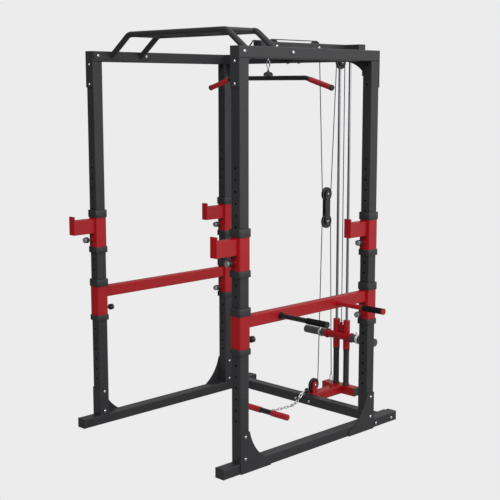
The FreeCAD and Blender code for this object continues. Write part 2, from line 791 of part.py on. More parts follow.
def frame_nodes():
    nodes = {}
    for name, centre in SIDES.items():
        nodes[name + "_foot"] = foot(centre)
        nodes[name + "_top_beam"] = top_beam(centre)
    for name, (centre, y0) in CORNERS.items():
        nodes["upright_" + name] = upright(centre, y0)
    nodes["rear_crossbeam"] = rear_crossbeam()
    nodes["floor_crossmember"] = floor_crossmember()
    nodes["pull_up_bar"] = pull_up_bar()
    nodes["lat_boom"] = lat_boom()
    nodes["lat_base"] = lat_base()
    nodes["guide_rods"] = guide_rods()
    nodes["bumper_posts"] = bumper_posts()
    nodes["end_caps"] = end_caps()
    nodes["frame_bolts"] = frame_bolts()
    nodes["lat_cable_drop"] = rod(ROPE_R, V(0, DROP_Y, 1985), V(0, DROP_Y, 2050))
    nodes["lat_cable_mid"] = lat_cable_mid()
    nodes["lat_cable_carriage"] = rod(ROPE_R, V(0, LIFT_Y, 436), V(0, LIFT_Y, 1974))
    nodes["row_cable"] = row_cable()
    return nodes


def sliding_nodes():
    nodes = {}
    for name, (centre, y0) in CORNERS.items():
        nodes["hook_" + name] = hook(centre, y0)
        nodes["hook_trims_" + name] = hook_trims(centre, y0)
        nodes["hook_pin_" + name] = pull_pin(centre, y0, -1, HOOK_PIN_Z)
    for name, centre in SIDES.items():
        nodes["safety_" + name] = safety(centre)
        nodes["safety_trims_" + name] = safety_trims(centre)
        nodes["safety_pin_front_" + name] = pull_pin(centre, TUBE, 1, SAFE_PIN_Z)
        nodes["safety_pin_rear_" + name] = pull_pin(centre, REAR_Y, -1, SAFE_PIN_Z)
    nodes["front_dip_handle"] = front_dip_handle()
    nodes["dip_grips"] = dip_grips()
    return nodes


def cable_machine_nodes():
    nodes = {
        "pulley_top_front": pulley(TOP_FRONT),
        "pulley_top_middle": pulley(TOP_MIDDLE),
        "pulley_top_rear": pulley(TOP_REAR),
        "pulley_low": pulley(LOW),
        "pulley_block_top": pulley(BLOCK_TOP),
        "pulley_block_low": pulley(BLOCK_LOW),
        "block_plates": block_plates(),
        "carriage_frame": carriage_frame(),
        "weight_horns": weight_horns(),
        "spring_collar_left": spring_collar(-1),
        "spring_collar_right": spring_collar(1),
        "lat_hanger": lat_hanger(),
        "lat_bar": lat_bar(),
        "lat_grips": lat_grips(),
        "row_chain": row_chain(),
        "row_bar": row_bar(),
        "row_grips": row_grips(),
    }
    return nodes


def all_nodes():
    nodes = frame_nodes()
    nodes.update(sliding_nodes())
    nodes.update(cable_machine_nodes())
    return nodes


def shift(nodes):
    """Offset that puts the origin on the floor under the middle of the whole object."""
    whole = FreeCAD.BoundBox()
    for shape in nodes.values():
        whole.add(shape.optimalBoundingBox(False, False))
    return V(-whole.Center.x, -whole.Center.y, -whole.ZMin)


def main():
    os.makedirs("parts", exist_ok=True)
    nodes = all_nodes()
    move = shift(nodes)
    for name, shape in nodes.items():
        placed = shape.copy()
        placed.translate(move)
        placed.exportStep("parts/" + name + ".step")
    print(len(nodes), "nodes, shift", move)


main()
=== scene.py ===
import math

import bmesh
import bpy
from mathutils import Matrix, Vector


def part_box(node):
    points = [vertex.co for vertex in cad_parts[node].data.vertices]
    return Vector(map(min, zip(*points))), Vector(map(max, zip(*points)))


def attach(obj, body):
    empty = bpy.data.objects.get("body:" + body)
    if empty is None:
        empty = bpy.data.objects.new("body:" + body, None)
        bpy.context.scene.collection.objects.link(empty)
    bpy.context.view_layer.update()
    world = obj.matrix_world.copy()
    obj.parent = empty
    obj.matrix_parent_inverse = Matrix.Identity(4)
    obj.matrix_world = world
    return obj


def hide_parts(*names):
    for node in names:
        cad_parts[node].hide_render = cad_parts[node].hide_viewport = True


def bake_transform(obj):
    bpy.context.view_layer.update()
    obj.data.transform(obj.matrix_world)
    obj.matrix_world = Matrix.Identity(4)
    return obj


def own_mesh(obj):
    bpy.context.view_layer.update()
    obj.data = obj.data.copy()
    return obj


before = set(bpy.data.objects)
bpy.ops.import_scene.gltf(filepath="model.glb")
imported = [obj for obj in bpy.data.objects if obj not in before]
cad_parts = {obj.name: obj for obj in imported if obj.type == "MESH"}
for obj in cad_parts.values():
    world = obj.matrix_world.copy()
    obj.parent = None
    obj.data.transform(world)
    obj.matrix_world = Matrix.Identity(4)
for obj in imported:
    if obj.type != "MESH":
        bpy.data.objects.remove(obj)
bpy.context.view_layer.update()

X_AXIS = Vector((1, 0, 0))
Y_AXIS = Vector((0, 1, 0))
Z_AXIS = Vector((0, 0, 1))

# The rack: square tube, two foot rails and four uprights.
HALF_TUBE = 30
HALF_WIDTH = 577.0
FOOT_TOP = 52.0
RAIL_X = 547.0
REAR_Y = 954.0
SIDES = {"left": -RAIL_X, "right": RAIL_X}
CORNERS = {
    "front_left": (-RAIL_X, 0.0),
    "rear_left": (-RAIL_X, REAR_Y),
    "front_right": (RAIL_X, 0.0),
    "rear_right": (RAIL_X, REAR_Y),
}
REAR_LAP_Y = REAR_Y + 64
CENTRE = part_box("upright_front_left")[0] + Vector((HALF_WIDTH, 0.0, -FOOT_TOP)) / 1000

# Axles of the pulleys (Y, Z), and the half width of the bracket that holds each fixed one.
WHEELS = {
    "pulley_top_front": (820.5, 2057.0),
    "pulley_top_middle": (1164.0, 2057.0),
    "pulley_top_rear": (1390.0, 1981.0),
    "pulley_low": (1177.5, 95.0),
    "pulley_block_top": (1277.0, 1222.0),
    "pulley_block_low": (1277.0, 1062.0),
}
BRACKETS = {
    "pulley_top_front": 30,
    "pulley_top_middle": 30,
    "pulley_top_rear": 14,
    "pulley_low": 14,
}
BLOCK_HALF = 12.5

# Cables: their radius, and the radius of the line they follow round a wheel.
ROPE_RADIUS = 2.6
ROPE_LINE = 37.0
# The drop to the lat bar, and the snap hook below it.
LAT_Y = 783.5
LAT_TOP = 2057.0
LAT_FOOT = 1986.0
SNAP_Z = 1955
# The run down to the carriage, and how far the carriage lifts and the block drops.
LIFT_Y = 1427.0
LIFT_FOOT = 436.0
LIFT_TOP = 1981.0
# Both ends of the row cable, the stopper ball and the row bar (Y, Z).
ANCHOR = (1337.0, 134.0)
BALL_END = (1136.8, 68.0)
BALL_CENTRE = (1120, 70)
ROW_BAR = (777.5, 17.7)

# Heights of the pull pins, and the collars of hooks and safeties as (foot, height).
HOOK_PIN_Z = 1028
SAFETY_PIN_Z = 643
HOOK_COLLARS = ((1147, 39), (956, 32))
SAFETY_COLLARS = ((771, 39), (583, 29))

# The weight horns (Y, Z), and the dip handles (Y of both, then Z).
HORN_LINE = (1411, 355)
DIP_Y = (290, 716)
DIP_Z = 734

# Brightness of the backdrop and floor, as the camera sees them.
PALE = 0.838
# Edges sharper than these angles, in degrees, are rounded and shaded as edges.
ROUNDED_EDGE = 40
SHADED_EDGE = 35
# How closely a face has to look along an axis to be picked by it.
SAME_WAY = 0.99


def at(x, y, z):
    """Point of the shared frame, in metres, from rack millimetres."""
    return CENTRE + Vector((x, y, z)) / 1000


# ---- camera, lights and floor ----
def place_camera():
    """Camera place, tilt and lens, as solved from the cage's parallel edges."""
    data = bpy.data.cameras.new("camera")
    camera = bpy.data.objects.new("camera", data)
    bpy.context.collection.objects.link(camera)
    camera.location = at(4077.66, -3446.39, 1838.14)
    down, around = math.radians(8.651), math.radians(44.91)
    camera.rotation_euler = (math.pi / 2 - down, 0, around)
    data.sensor_width = 36
    data.lens = 77.09
    data.clip_end = 60
    bpy.context.scene.camera = camera


def soft_light(name, place, aim, size, power):
    """Square area light that looks from place to aim, both in metres."""
    data = bpy.data.lights.new(name, "AREA")
    data.shape = "SQUARE"
    data.size = size
    data.energy = power
    light = bpy.data.objects.new(name, data)
    bpy.context.collection.objects.link(light)
    light.location = place
    light.rotation_euler = (Vector(aim) - Vector(place)).to_track_quat("-Z", "Y").to_euler()


def brightness_along(nodes, links, vector, way, start, end, dim, bright):
    """Value that climbs from dim to bright as the vector's reach along way grows."""
    reach = nodes.new("ShaderNodeVectorMath")
    reach.operation = "DOT_PRODUCT"
    reach.inputs[1].default_value = Vector(way).normalized()
    links.new(vector, reach.inputs[0])
    climb = nodes.new("ShaderNodeMapRange")
    climb.interpolation_type = "SMOOTHSTEP"
    climb.inputs["From Min"].default_value = start
    climb.inputs["From Max"].default_value = end
    climb.inputs["To Min"].default_value = dim
    climb.inputs["To Max"].default_value = bright
    links.new(reach.outputs["Value"], climb.inputs["Value"])
    return climb.outputs["Result"]


def show_camera(nodes, links, others, camera, output):
    """The camera sees one shader, and light and reflections see the other."""
    mix = nodes.new("ShaderNodeMixShader")
    path = nodes.new("ShaderNodeLightPath")
    links.new(path.outputs["Is Camera Ray"], mix.inputs["Fac"])
    links.new(others.outputs[0], mix.inputs[1])
    links.new(camera.outputs[0], mix.inputs[2])
    links.new(mix.outputs[0], output.inputs["Surface"])


def backdrop_and_room(tree):
    """Even pale backdrop, and a room that is bright at the rear right and dim at the front."""
    nodes, links = tree.nodes, tree.links
    room = nodes["Background"]
    way = nodes.new("ShaderNodeTexCoord").outputs["Generated"]
    level = brightness_along(
        nodes, links, way, (0.7, 0.5, 0.5), start=-0.5, end=0.9, dim=0.10, bright=1.1
    )
    links.new(level, room.inputs["Strength"])
    room.inputs["Color"].default_value = (1, 1, 1, 1)
    backdrop = nodes.new("ShaderNodeBackground")
    backdrop.inputs["Color"].default_value = (1, 1, 1, 1)
    backdrop.inputs["Strength"].default_value = PALE
    show_camera(nodes, links, room, backdrop, nodes["World Output"])


def studio():
    """World, two soft lights and the floor."""
    scene = bpy.context.scene
    scene.view_settings.view_transform = "Standard"
    world = bpy.data.worlds.new("studio")
    scene.world = world
    world.use_nodes = True
    backdrop_and_room(world.node_tree)
    soft_light("side_light", (5.5, 0.5, 3.2), (0, 0, 1.0), size=4.0, power=92)
    soft_light("front_light", (2.0, -5.0, 4.5), (0, 0, 1.0), size=4.0, power=230)
    bare()
    bpy.ops.mesh.primitive_circle_add(
        vertices=96, radius=14, fill_type="NGON", location=(0, 0, -0.001)
    )
    floor = bpy.context.object
    floor.name = "floor"
    floor.data.materials.append(glowing_floor())


# ---- finishes ----
def socketed_group(name, inputs, outputs):
    """Empty node group with named sockets, and its input and output nodes."""
    group = bpy.data.node_groups.new(name, "ShaderNodeTree")
    for label, kind, value in inputs:
        socket = group.interface.new_socket(label, in_out="INPUT", socket_type=kind)
        socket.default_value = value
    for label, kind in outputs:
        group.interface.new_socket(label, in_out="OUTPUT", socket_type=kind)
    return group, group.nodes.new("NodeGroupInput"), group.nodes.new("NodeGroupOutput")


def math_node(nodes, operation):
    """Math node set to one operation."""
    node = nodes.new("ShaderNodeMath")
    node.operation = operation
    return node


def spread(nodes):
    """Map Range over the part of a noise that is really used."""
    node = nodes.new("ShaderNodeMapRange")
    node.inputs["From Min"].default_value = 0.3
    node.inputs["From Max"].default_value = 0.7
    return node


def grain_group():
    """Fine surface grain: a mottled colour, a roughness that varies and a height."""
    group, given, out = socketed_group(
        "surface_grain",
        [
            ("Colour", "NodeSocketColor", (0.5, 0.5, 0.5, 1)),
            ("Grain per Metre", "NodeSocketFloat", 600.0),
            ("Patch per Metre", "NodeSocketFloat", 6.0),
            ("Mottle", "NodeSocketFloat", 0.1),
            ("Rough Low", "NodeSocketFloat", 0.35),
            ("Rough High", "NodeSocketFloat", 0.5),
            ("Stretch", "NodeSocketVector", (1.0, 1.0, 1.0)),
        ],
        [
            ("Colour", "NodeSocketColor"),
            ("Roughness", "NodeSocketFloat"),
            ("Height", "NodeSocketFloat"),
        ],
    )
    nodes, links = group.nodes, group.links
    place = nodes.new("ShaderNodeTexCoord")
    stretch = nodes.new("ShaderNodeVectorMath")
    stretch.operation = "MULTIPLY"
    links.new(place.outputs["Object"], stretch.inputs[0])
    links.new(given.outputs["Stretch"], stretch.inputs[1])
    fine = nodes.new("ShaderNodeTexNoise")
    fine.inputs["Detail"].default_value = 4
    links.new(stretch.outputs[0], fine.inputs["Vector"])
    links.new(given.outputs["Grain per Metre"], fine.inputs["Scale"])
    patch = nodes.new("ShaderNodeTexNoise")
    patch.inputs["Detail"].default_value = 6
    links.new(place.outputs["Object"], patch.inputs["Vector"])
    links.new(given.outputs["Patch per Metre"], patch.inputs["Scale"])
    blend = math_node(nodes, "MULTIPLY_ADD")
    blend.inputs[1].default_value = 0.5
    half = math_node(nodes, "MULTIPLY")
    half.inputs[1].default_value = 0.5
    links.new(patch.outputs["Fac"], half.inputs[0])
    links.new(fine.outputs["Fac"], blend.inputs[0])
    links.new(half.outputs[0], blend.inputs[2])
    low = math_node(nodes, "SUBTRACT")
    low.inputs[0].default_value = 1.0
    links.new(given.outputs["Mottle"], low.inputs[1])
    high = math_node(nodes, "ADD")
    high.inputs[0].default_value = 1.0
    links.new(given.outputs["Mottle"], high.inputs[1])
    tone = spread(nodes)
    links.new(blend.outputs[0], tone.inputs["Value"])
    links.new(low.outputs[0], tone.inputs["To Min"])
    links.new(high.outputs[0], tone.inputs["To Max"])
    tint = nodes.new("ShaderNodeVectorMath")
    tint.operation = "SCALE"
    links.new(given.outputs["Colour"], tint.inputs[0])
    links.new(tone.outputs["Result"], tint.inputs["Scale"])
    links.new(tint.outputs[0], out.inputs["Colour"])
    rough = spread(nodes)
    links.new(patch.outputs["Fac"], rough.inputs["Value"])
    links.new(given.outputs["Rough Low"], rough.inputs["To Min"])
    links.new(given.outputs["Rough High"], rough.inputs["To Max"])
    links.new(rough.outputs["Result"], out.inputs["Roughness"])
    links.new(fine.outputs["Fac"], out.inputs["Height"])
    return group


def finish_from_grain(
    name, colour, grain, patch, mottle, rough, depth, metal=0.0, shine=0.5, stretch=(1, 1, 1)
):
    """Material whose colour, roughness and bump come from the grain group.

    grain and patch are the two noise scales per metre, rough is the lowest and highest
    roughness, and depth is the height of the bump in mm.
    """
    material = bpy.data.materials.new(name)
    material.use_nodes = True
    nodes, links = material.node_tree.nodes, material.node_tree.links
    shader = nodes["Principled BSDF"]
    shader.inputs["Metallic"].default_value = metal
    shader.inputs["Specular IOR Level"].default_value = shine
    group = nodes.new("ShaderNodeGroup")
    group.node_tree = GRAIN
    group.inputs["Colour"].default_value = (*colour, 1)
    group.inputs["Grain per Metre"].default_value = grain
    group.inputs["Patch per Metre"].default_value = patch
    group.inputs["Mottle"].default_value = mottle
    group.inputs["Rough Low"].default_value, group.inputs["Rough High"].default_value = rough
    group.inputs["Stretch"].default_value = stretch
    links.new(group.outputs["Colour"], shader.inputs["Base Color"])
    links.new(group.outputs["Roughness"], shader.inputs["Roughness"])
    bump = nodes.new("ShaderNodeBump")
    bump.inputs["Strength"].default_value = 0.35
    bump.inputs["Distance"].default_value = depth / 1000
    links.new(group.outputs["Height"], bump.inputs["Height"])
    links.new(bump.outputs["Normal"], shader.inputs["Normal"])
    return material


def glowing_floor():
    """Pale floor that runs into the backdrop without a line; light and reflection rays see it
    glow instead, with painted light that is bright at the rear right and dim at the front left.
    """
    material = bpy.data.materials.new("floor_with_painted_glow")
    material.use_nodes = True
    nodes, links = material.node_tree.nodes, material.node_tree.links
    nodes.remove(nodes["Principled BSDF"])
    place = nodes.new("ShaderNodeTexCoord").outputs["Object"]
    level = brightness_along(
        nodes, links, place, (0.7, 0.7, 0), start=-5.0, end=6.0, dim=0.13, bright=0.6
    )
    # Painted light: for every ray but the camera's the floor glows, brighter towards the rear
    # right, so it lights the frame from below and shows in its reflections.
    painted_glow = nodes.new("ShaderNodeEmission")
    links.new(level, painted_glow.inputs["Strength"])
    pale = nodes.new("ShaderNodeEmission")
    pale.inputs["Strength"].default_value = PALE
    show_camera(nodes, links, painted_glow, pale, nodes["Material Output"])
    return material


# ---- modelling helpers ----
def bare():
    """Object mode with nothing selected."""
    if bpy.context.object is not None and bpy.context.object.mode != "OBJECT":
        bpy.ops.object.mode_set(mode="OBJECT")
    bpy.ops.object.select_all(action="DESELECT")


def only(piece):
    """Makes a piece the one that is selected and active."""
    bare()
    piece.select_set(True)
    bpy.context.view_layer.objects.active = piece


def apply_place():
    """Puts the place of the selected pieces into their meshes."""
    bpy.ops.object.transform_apply(location=True, rotation=True, scale=True)


def stand_along(piece, foot, axis):
    """Turns a piece made along +Z so that it runs along axis from foot, and applies it."""
    turn = Z_AXIS.rotation_difference(Vector(axis)).to_matrix().to_4x4()
    piece.matrix_world = Matrix.Translation(foot) @ turn
    apply_place()


def turned(profile, foot, axis, sides):
    """Round piece drawn out of a disc ring by ring; profile is (height, radius) in mm."""
    bare()
    height, radius = profile[0]
    bpy.ops.mesh.primitive_circle_add(
        vertices=sides, radius=radius / 1000, fill_type="NGON", location=(0, 0, 0)
    )
    piece = bpy.context.object
    bpy.ops.object.mode_set(mode="EDIT")
    bpy.ops.transform.translate(value=(0, 0, height / 1000))
    for next_height, next_radius in profile[1:]:
        rise = (0, 0, (next_height - height) / 1000)
        bpy.ops.mesh.extrude_region_move(TRANSFORM_OT_translate={"value": rise})
        if abs(next_radius - radius) > 1e-6:
            grow = next_radius / radius
            bpy.ops.transform.resize(value=(grow, grow, 1), center_override=(0, 0, 0))
        height, radius = next_height, next_radius
    bpy.ops.mesh.select_all(action="SELECT")
    bpy.ops.mesh.normals_make_consistent(inside=False)
    bpy.ops.object.mode_set(mode="OBJECT")
    stand_along(piece, foot, axis)
    return piece


def soften(piece, width, segments=2):
    """Rounds the sharp edges of the active piece."""
    bpy.ops.object.modifier_add(type="BEVEL")
    bevel = piece.modifiers[-1]
    bevel.width = width / 1000
    bevel.segments = segments
    bevel.limit_method = "ANGLE"
    bevel.angle_limit = math.radians(ROUNDED_EDGE)
    bpy.ops.object.modifier_apply(modifier=bevel.name)


def pick_faces(piece, direction, keep_others=False):
    """Selects, in edit mode, the faces that look along direction."""
    mesh = bmesh.from_edit_mesh(piece.data)
    for face in mesh.faces:
        hit = face.normal.dot(direction) > SAME_WAY
        face.select_set(hit or (keep_others and face.select))
    mesh.select_flush_mode()
    bmesh.update_edit_mesh(piece.data)


def pick_verts(piece, wanted):
    """Selects, in edit mode, the vertices whose place passes the test."""
    bpy.ops.mesh.select_mode(type="VERT")
    mesh = bmesh.from_edit_mesh(piece.data)
    for vert in mesh.verts:
        vert.select_set(wanted(vert.co))
    mesh.select_flush_mode()
    bmesh.update_edit_mesh(piece.data)


def block(low, high):
    """Box from corner to corner, in mm, as the active object with its place applied."""
    bare()
    size = [(b - a) / 1000 for a, b in zip(low, high)]
    middle = at(*[(a + b) / 2 for a, b in zip(low, high)])
    bpy.ops.mesh.primitive_cube_add(size=1, location=middle, scale=size)
    piece = bpy.context.object
    apply_place()
    return piece


def collar(height):
    """Moulded plastic collar for a square post, standing at the origin of the rack."""
    half, corner, wall = 38, 9, 7.3
    piece = block((-half, -half, 0), (half, half, height))
    bpy.ops.object.mode_set(mode="EDIT")
    bpy.ops.mesh.select_mode(type="EDGE")
    mesh = bmesh.from_edit_mesh(piece.data)
    for edge in mesh.edges:
        run = (edge.verts[1].co - edge.verts[0].co).normalized()
        edge.select_set(abs(run.z) > SAME_WAY)
    bmesh.update_edit_mesh(piece.data)
    bpy.ops.mesh.bevel(offset=corner / 1000, segments=4, affect="EDGES")
    bpy.ops.mesh.select_mode(type="FACE")
    bpy.ops.mesh.select_all(action="DESELECT")
    pick_faces(piece, Z_AXIS)
    pick_faces(piece, -Z_AXIS, keep_others=True)
    bpy.ops.mesh.inset(thickness=wall / 1000)
    bpy.ops.mesh.bridge_edge_loops()
    bpy.ops.mesh.select_all(action="SELECT")
    bpy.ops.mesh.normals_make_consistent(inside=False)
    bpy.ops.object.mode_set(mode="OBJECT")
    soften(piece, 1.4)
    return piece


def ring(major, minor, sides, wire_sides, **place):
    """Ring of round wire; its two radii are in mm."""
    bare()
    bpy.ops.mesh.primitive_torus_add(
        major_radius=major / 1000, minor_radius=minor / 1000,
        major_segments=sides, minor_segments=wire_sides, **place,
    )
    piece = bpy.context.object
    apply_place()
    return piece


def joined(pieces):
    """One piece made of several."""
    bare()
    for piece in pieces:
        piece.select_set(True)
    bpy.context.view_layer.objects.active = pieces[0]
    bpy.ops.object.join()
    return pieces[0]


def copied(piece, move):
    """Copy with its own mesh, moved by a vector in metres."""
    only(piece)
    bpy.ops.object.duplicate()
    twin = bpy.context.object
    bpy.ops.transform.translate(value=move)
    apply_place()
    return twin


def smoothed(piece):
    """Smooth shading that leaves the sharp edges sharp."""
    only(piece)
    bpy.ops.object.shade_smooth_by_angle(angle=math.radians(SHADED_EDGE))


def settle(piece, name, finish, body=None, nodes=()):
    """Names and paints a piece, hangs it on its body, and replaces the CAD nodes.

    A finish of None keeps the materials that the piece has, and a body of None leaves it
    to a blend.
    """
    smoothed(piece)
    piece.name = name
    if finish is not None:
        piece.data.materials.clear()
        piece.data.materials.append(finish)
    if body is not None:
        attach(piece, body)
    if nodes:
        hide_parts(*nodes)
    return piece


# ---- cables ----
def cable_point(wheel, angle):
    """Point of the cable's line on a wheel; angle 0 is the rear and a quarter turn the top."""
    y, z = WHEELS[wheel]
    return at(0, y + ROPE_LINE * math.cos(angle), z + ROPE_LINE * math.sin(angle))


def cable_run(start, end, rings):
    """Straight stretch of cable drawn out of a disc in even steps."""
    length = (end - start).length * 1000
    profile = [(length * n / rings, ROPE_RADIUS) for n in range(rings + 1)]
    return turned(profile, start, (end - start).normalized(), sides=12)


def cable_bend(wheel, first, last):
    """Cable bent round a wheel, from one angle to another, made by a spin."""
    bare()
    centre = at(0, *WHEELS[wheel])
    begin = cable_point(wheel, first)
    bpy.ops.mesh.primitive_circle_add(
        vertices=12,
        radius=ROPE_RADIUS / 1000,
        fill_type="NGON",
        location=begin,
        rotation=(first, 0, 0),
    )
    piece = bpy.context.object
    apply_place()
    bpy.ops.object.mode_set(mode="EDIT")
    fewest, widest = 6, math.radians(6)
    steps = max(fewest, int(abs(last - first) / widest))
    bpy.ops.mesh.spin(steps=steps, angle=last - first, center=centre, axis=X_AXIS, dupli=False)
    bpy.ops.mesh.select_all(action="SELECT")
    bpy.ops.mesh.remove_doubles(threshold=0.00001)
    bpy.ops.mesh.normals_make_consistent(inside=False)
    bpy.ops.object.mode_set(mode="OBJECT")
    return piece


def aim(start, end, offset):
    """Heading from start to end, both (Y, Z), for a run that passes offset beside end."""
    way = (end[0] - start[0], end[1] - start[1])
    return math.atan2(way[1], way[0]) - math.asin(offset / math.hypot(*way))


def crossed_angle(wheel_a, wheel_b, turn_b):
    """Direction of a run from one wheel to the next, crossing between them."""
    return aim(WHEELS[wheel_a], WHEELS[wheel_b], 2 * turn_b * ROPE_LINE)


def leave(turn, heading):
    """Angle on a wheel, with this sense of turn, where a run with this heading touches it."""
    return heading - turn * math.pi / 2


def ferrule(foot, axis, length):
    """Crimped metal sleeve at a cable's end."""
    profile = [(0, 3.2), (0.6, 4.4), (4.5, 4.4), (5, 3.9), (7, 3.9), (7.5, 4.4)]
    profile += [(length - 1, 4.4), (length, 3.2)]
    return turned(profile, foot, axis, sides=20)


def lat_cable():
    """Bar, front and middle pulleys, under the floating block, rear pulley, carriage."""
    down = crossed_angle("pulley_top_middle", "pulley_block_top", 1)
    up = crossed_angle("pulley_block_top", "pulley_top_rear", -1)
    top = at(0, LAT_Y, LAT_TOP)
    drop = cable_run(at(0, LAT_Y, LAT_FOOT), top, 16)
    settle(drop, "lat_cable_to_bar", CABLE, None, ["lat_cable_drop"])
    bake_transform(drop)
    upward = math.pi / 2
    over = cable_bend("pulley_top_front", math.pi, upward)
    start = cable_point("pulley_top_front", upward)
    end = cable_point("pulley_top_middle", upward)
    along = cable_run(start, end, 8)
    second_off = leave(-1, down)
    second = cable_bend("pulley_top_middle", upward, second_off)
    fixed = joined([over, along, second])
    settle(fixed, "lat_cable_on_boom", CABLE, "frame", ["lat_cable_mid"])
    block_in = leave(1, down)
    block_out = leave(1, up)
    start = cable_point("pulley_top_middle", second_off)
    end = cable_point("pulley_block_top", block_in)
    first_leg = cable_run(start, end, 30)
    settle(first_leg, "lat_cable_to_block", CABLE)
    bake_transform(first_leg)
    under = cable_bend("pulley_block_top", block_in, block_out + 2 * math.pi)
    settle(under, "lat_cable_under_block", CABLE, "cable_block")
    rear_in = leave(-1, up)
    start = cable_point("pulley_block_top", block_out)
    end = cable_point("pulley_top_rear", rear_in)
    second_leg = cable_run(start, end, 30)
    settle(second_leg, "lat_cable_from_block", CABLE)
    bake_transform(second_leg)
    last = cable_bend("pulley_top_rear", rear_in, 0)
    settle(last, "lat_cable_at_rear", CABLE, "frame")
    lift_top = at(0, LIFT_Y, LIFT_TOP)
    lift = cable_run(at(0, LIFT_Y, LIFT_FOOT), lift_top, 24)
    settle(lift, "lat_cable_to_carriage", CABLE, "frame", ["lat_cable_carriage"])
    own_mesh(lift)
    end_piece = ferrule(at(0, LIFT_Y, LIFT_FOOT - 2), Z_AXIS, 22)
    settle(end_piece, "carriage_ferrule", ZINC, "carriage")
    bar_end = ferrule(at(0, LAT_Y, LAT_FOOT - 4), Z_AXIS, 16)
    settle(bar_end, "lat_ferrule", ZINC, "lat_hanger")


def low_cable():
    """Anchor, over the floating block, under the low pulley, stopper ball."""
    heading = aim(ANCHOR, WHEELS["pulley_block_low"], ROPE_LINE)
    on = leave(1, heading)
    down = crossed_angle("pulley_block_low", "pulley_low", -1)
    off = leave(1, down)
    foot = at(0, *ANCHOR)
    rise = cable_run(foot, cable_point("pulley_block_low", on), 24)
    settle(rise, "row_cable_from_anchor", CABLE, "frame", ["row_cable"])
    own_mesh(rise)
    over = cable_bend("pulley_block_low", on, off)
    settle(over, "row_cable_over_block", CABLE, "cable_block")
    low_in = leave(-1, down)
    low_point = cable_point("pulley_low", low_in)
    fall_top = cable_point("pulley_block_low", off)
    fall = cable_run(low_point, fall_top, 24)
    settle(fall, "row_cable_to_low_pulley", CABLE, "frame")
    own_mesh(fall)
    low_out = leave(-1, aim(WHEELS["pulley_low"], BALL_END, ROPE_LINE))
    while low_out > low_in:
        low_out -= 2 * math.pi
    under = cable_bend("pulley_low", low_in, low_out)
    settle(under, "row_cable_under_low_pulley", CABLE, "frame")
    start, end = cable_point("pulley_low", low_out), at(0, *BALL_END)
    pull = cable_run(start, end, 30)
    settle(pull, "row_cable_to_ball", CABLE)
    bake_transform(pull)
    along = Y_AXIS * math.cos(heading) + Z_AXIS * math.sin(heading)
    anchor_end = ferrule(at(0, ANCHOR[0], ANCHOR[1] - 8), along, 24)
    settle(anchor_end, "anchor_ferrule", ZINC, "frame")


# ---- bolts ----
def bolt_list():
    """Each bolt as (point under its head, outward direction, grip)."""
    plate, lap = 5, 4
    through = 2 * HALF_TUBE + plate
    bolts = []
    for centre in (-RAIL_X, RAIL_X):
        outer = plate if centre > 0 else 0
        inner = plate - outer
        # Gussets at the feet of the uprights.
        for y in (HALF_TUBE, REAR_Y + HALF_TUBE):
            for z in (182, 72):
                bolts.append(((centre + HALF_TUBE + outer, y, z), X_AXIS, through))
        # Floor crossmember's plates, and the bracket strips of the pull-up bar.
        for y, z in ((1040, 22), (1176, 22), (30, 2001), (356, 2001)):
            bolts.append(((centre + HALF_TUBE + inner, y, z), X_AXIS, through))
        # Lap plates of the top beams.
        for z in (1955, 1852):
            bolts.append(((centre, -lap, z), -Y_AXIS, 2 * HALF_TUBE + lap))
            bolts.append(((centre, REAR_LAP_Y, z), Y_AXIS, 2 * HALF_TUBE + lap))
    # The boom on the rear crossbeam, and the base on the floor crossmember.
    for x in (-41, 41):
        bolts.append(((x, 984, 1970), -Z_AXIS, 61))
    for x in (-52, 52):
        bolts.append(((x, 1078, 24), -Y_AXIS, through))
    for wheel, half in BRACKETS.items():
        bolts.append(((half, *WHEELS[wheel]), X_AXIS, 2 * half))
    return bolts


def button_head(point, out):
    """Domed bolt head on a dark washer, with a thin dark hex disc on the dome as painted shade
    for the hex key recess.
    """
    washer_profile = [(0, 9.6), (0.2, 10), (1.3, 10), (1.5, 9.6), (1.5, 8.2)]
    washer = turned(washer_profile, point, out, 28)
    washer.data.materials.append(DARK_STEEL_AND_RECESS_SHADE)
    dome_profile = [(1.3, 7.9), (2.2, 8.0), (3.4, 7.5), (4.6, 6.3), (5.3, 4.8), (5.5, 3.6)]
    dome = turned(dome_profile, point, out, 24)
    dome.data.materials.append(ZINC)
    bare()
    # The key recess is not cut: a thin hexagon of dark steel sits on the dome's top as painted
    # shade for the hole.
    key_radius, key_depth, key_place = 2.6, 0.6, 5.3
    bpy.ops.mesh.primitive_cylinder_add(
        vertices=6, radius=key_radius / 1000, depth=key_depth / 1000
    )
    recess_shade = bpy.context.object
    stand_along(recess_shade, point + Vector(out) * (key_place / 1000), out)
    recess_shade.data.materials.append(DARK_STEEL_AND_RECESS_SHADE)
    for part in (washer, dome, recess_shade):
        smoothed(part)
    return joined([washer, dome, recess_shade])


def hex_nut(point, out):
    """Hex nut with a raised ring on its outer face."""
    radius, height, middle = 8.8, 5.8, 3
    bare()
    bpy.ops.mesh.primitive_cylinder_add(vertices=6, radius=radius / 1000, depth=height / 1000)
    nut = bpy.context.object
    bpy.ops.object.mode_set(mode="EDIT")
    pick_faces(nut, Z_AXIS)
    bpy.ops.mesh.inset(thickness=0.0014)
    bpy.ops.transform.translate(value=(0, 0, 0.0003))
    bpy.ops.object.mode_set(mode="OBJECT")
    stand_along(nut, point + Vector(out) * (middle / 1000), out)
    soften(nut, 0.4, 1)
    nut.data.materials.append(ZINC)
    smoothed(nut)
    return nut


